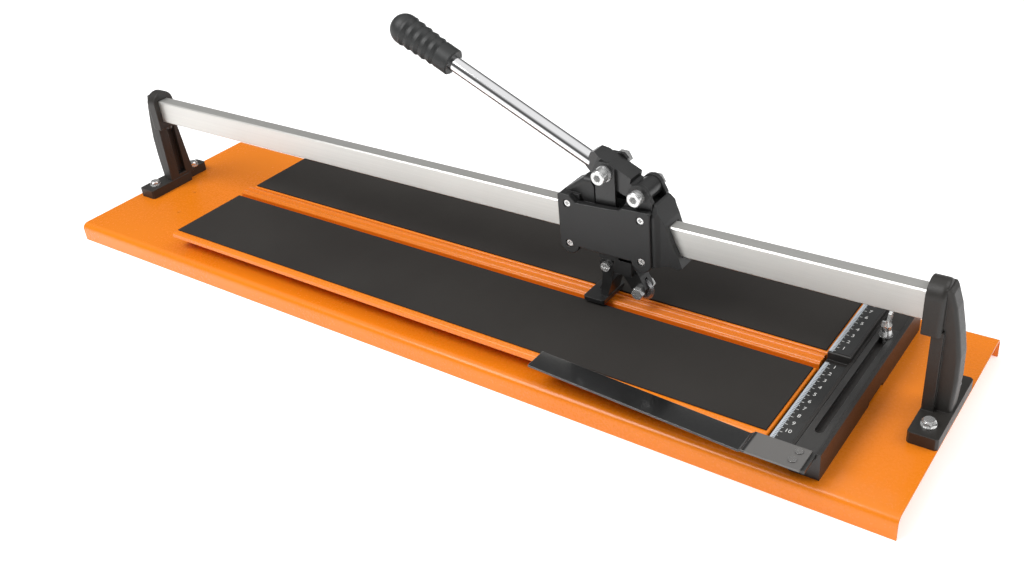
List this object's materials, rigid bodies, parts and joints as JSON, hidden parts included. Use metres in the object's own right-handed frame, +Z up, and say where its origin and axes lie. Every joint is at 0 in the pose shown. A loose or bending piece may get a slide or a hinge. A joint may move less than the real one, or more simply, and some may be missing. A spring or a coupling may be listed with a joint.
{
  "type": "manual tile cutter",
  "caption": "Manual tile cutter: sprung padded bed on a folded base, guide rail on end posts, and a lever carriage with scoring wheel, breaker foot, side fence and sliding stop.",
  "frame": {"origin": "on the table under the middle of the base plate, below the cutting line", "axes": "+X along the guide rail towards the fence, +Y across the bed away from the stop arm, +Z up from the table"},
  "size_m": [0.945, 0.262, 0.2795],
  "materials": {
    "orange_enamel": "gloss",
    "ridge_enamel": "gloss",
    "pad_rubber": "matt",
    "zinc_plate": "satin",
    "spring_steel": "satin",
    "post_moulding": "satin",
    "rail_alloy": "satin",
    "carriage_moulding": "satin",
    "roller_steel": "satin",
    "bolt_zinc": "bright",
    "lever_black": "satin",
    "lever_chrome": "polished",
    "grip_rubber": "matt",
    "carrier_black": "satin",
    "wheel_carbide": "satin",
    "fence_moulding": "satin",
    "scale_face": "gloss",
    "slider_steel": "satin",
    "arm_black": "gloss"
  },
  "bodies": {
    "base": {"base_plate": "orange_enamel", "under_channel": "zinc_plate", "breaking_ridge": "ridge_enamel", "ridge_rivets": "zinc_plate", "rear_bed_springs": "spring_steel", "front_bed_springs": "spring_steel", "right_post": "post_moulding", "left_post": "post_moulding", "rail_screws": "arm_black", "post_bolts": "bolt_zinc", "post_nuts": "bolt_zinc", "guide_rail": "rail_alloy", "fence_body": "fence_moulding", "fence_rivets": "zinc_plate", "front_scale": "scale_face", "rear_scale": "scale_face", "wing_washer": "bolt_zinc"},
    "rear_bed_half": {"rear_bed": "orange_enamel", "rear_pad": "pad_rubber"},
    "front_bed_half": {"front_bed": "orange_enamel", "front_pad": "pad_rubber"},
    "carriage": {"carriage_body": "carriage_moulding", "rear_cover": "carriage_moulding", "front_cover": "carriage_moulding", "cover_screws": "bolt_zinc", "roller_axles": "roller_steel", "carriage_shroud": "carriage_moulding", "pivot_bolt": "bolt_zinc", "pivot_nut": "bolt_zinc"},
    "roller_upper_left": {"upper_left_roller": "roller_steel"},
    "roller_lower_left": {"lower_left_roller": "roller_steel"},
    "roller_upper_right": {"upper_right_roller": "roller_steel"},
    "roller_lower_right": {"lower_right_roller": "roller_steel"},
    "lever": {"lever_block": "lever_black", "lever_rod": "lever_chrome", "lever_grip": "grip_rubber"},
    "carrier": {"tool_carrier": "carrier_black", "link_bolt": "bolt_zinc", "link_nut": "bolt_zinc", "link_spacers": "bolt_zinc", "wheel_bolt": "bolt_zinc", "wheel_nut": "bolt_zinc", "foot_screw": "bolt_zinc", "foot_nut": "bolt_zinc"},
    "foot": {"breaker_foot": "carrier_black"},
    "wheel": {"cutting_wheel": "wheel_carbide"},
    "side_stop": {"stop_slider": "slider_steel", "stop_arm": "arm_black", "arm_rivets": "bolt_zinc"},
    "clamp_screw": {"wing_screw": "bolt_zinc"}
  },
  "joints": [
    {"name": "carriage_slide", "type": "slide", "parent": "base", "child": "carriage", "axis": [1, 0, 0], "range_m": [-0.562, 0.145]},
    {"name": "lever_hinge", "type": "hinge", "parent": "carriage", "child": "lever", "pos_m": [0.206, 0, 0.158], "axis": [0, 1, 0], "range_deg": [-2, 12]},
    {"name": "carrier_slide", "type": "slide", "parent": "carriage", "child": "carrier", "axis": [0, 0, 1], "range_m": [-0.0015, 0.0089]},
    {"name": "foot_hinge", "type": "hinge", "parent": "carrier", "child": "foot", "pos_m": [0.17, 0, 0.08], "axis": [0, 1, 0], "range_deg": [0, 35]},
    {"name": "wheel_spin", "type": "hinge", "parent": "carrier", "child": "wheel", "pos_m": [0.2, 0, 0.059], "axis": [0, 1, 0], "continuous": true},
    {"name": "rear_bed_tilt", "type": "hinge", "parent": "base", "child": "rear_bed_half", "pos_m": [0, 0.0112, 0.0385], "axis": [-1, 0, 0], "range_deg": [0, 2.5], "stiffness_Nm_per_rad": 60, "springref_deg": -2.86, "deforming": ["rear_bed_springs"]},
    {"name": "front_bed_tilt", "type": "hinge", "parent": "base", "child": "front_bed_half", "pos_m": [0, -0.0112, 0.0385], "axis": [1, 0, 0], "range_deg": [0, 2.5], "stiffness_Nm_per_rad": 60, "springref_deg": -2.86, "deforming": ["front_bed_springs"]},
    {"name": "stop_slide", "type": "slide", "parent": "base", "child": "side_stop", "axis": [0, 1, 0], "range_m": [0, 0.09]},
    {"name": "wing_screw_turn", "type": "hinge", "parent": "base", "child": "clamp_screw", "pos_m": [0.3984, 0.052, 0.045], "axis": [0, 0, 1], "continuous": true},
    {"name": "upper_left_roller_spin", "type": "hinge", "parent": "carriage", "child": "roller_upper_left", "pos_m": [0.1382, 0, 0.1387], "axis": [0, 1, 0], "continuous": true},
    {"name": "lower_left_roller_spin", "type": "hinge", "parent": "carriage", "child": "roller_lower_left", "pos_m": [0.1382, 0, 0.0993], "axis": [0, 1, 0], "continuous": true},
    {"name": "upper_right_roller_spin", "type": "hinge", "parent": "carriage", "child": "roller_upper_right", "pos_m": [0.2104, 0, 0.1387], "axis": [0, 1, 0], "continuous": true},
    {"name": "lower_right_roller_spin", "type": "hinge", "parent": "carriage", "child": "roller_lower_right", "pos_m": [0.2104, 0, 0.0993], "axis": [0, 1, 0], "continuous": true}
  ],
  "couplings": [
    {"joint": "carrier_slide", "follows": "lever_hinge", "m_per_rad": 0.0418},
    {"joint": "upper_left_roller_spin", "follows": "carriage_slide", "rad_per_m": 151.51},
    {"joint": "lower_left_roller_spin", "follows": "carriage_slide", "rad_per_m": -151.51},
    {"joint": "upper_right_roller_spin", "follows": "carriage_slide", "rad_per_m": 151.51},
    {"joint": "lower_right_roller_spin", "follows": "carriage_slide", "rad_per_m": -151.51}
  ]
}
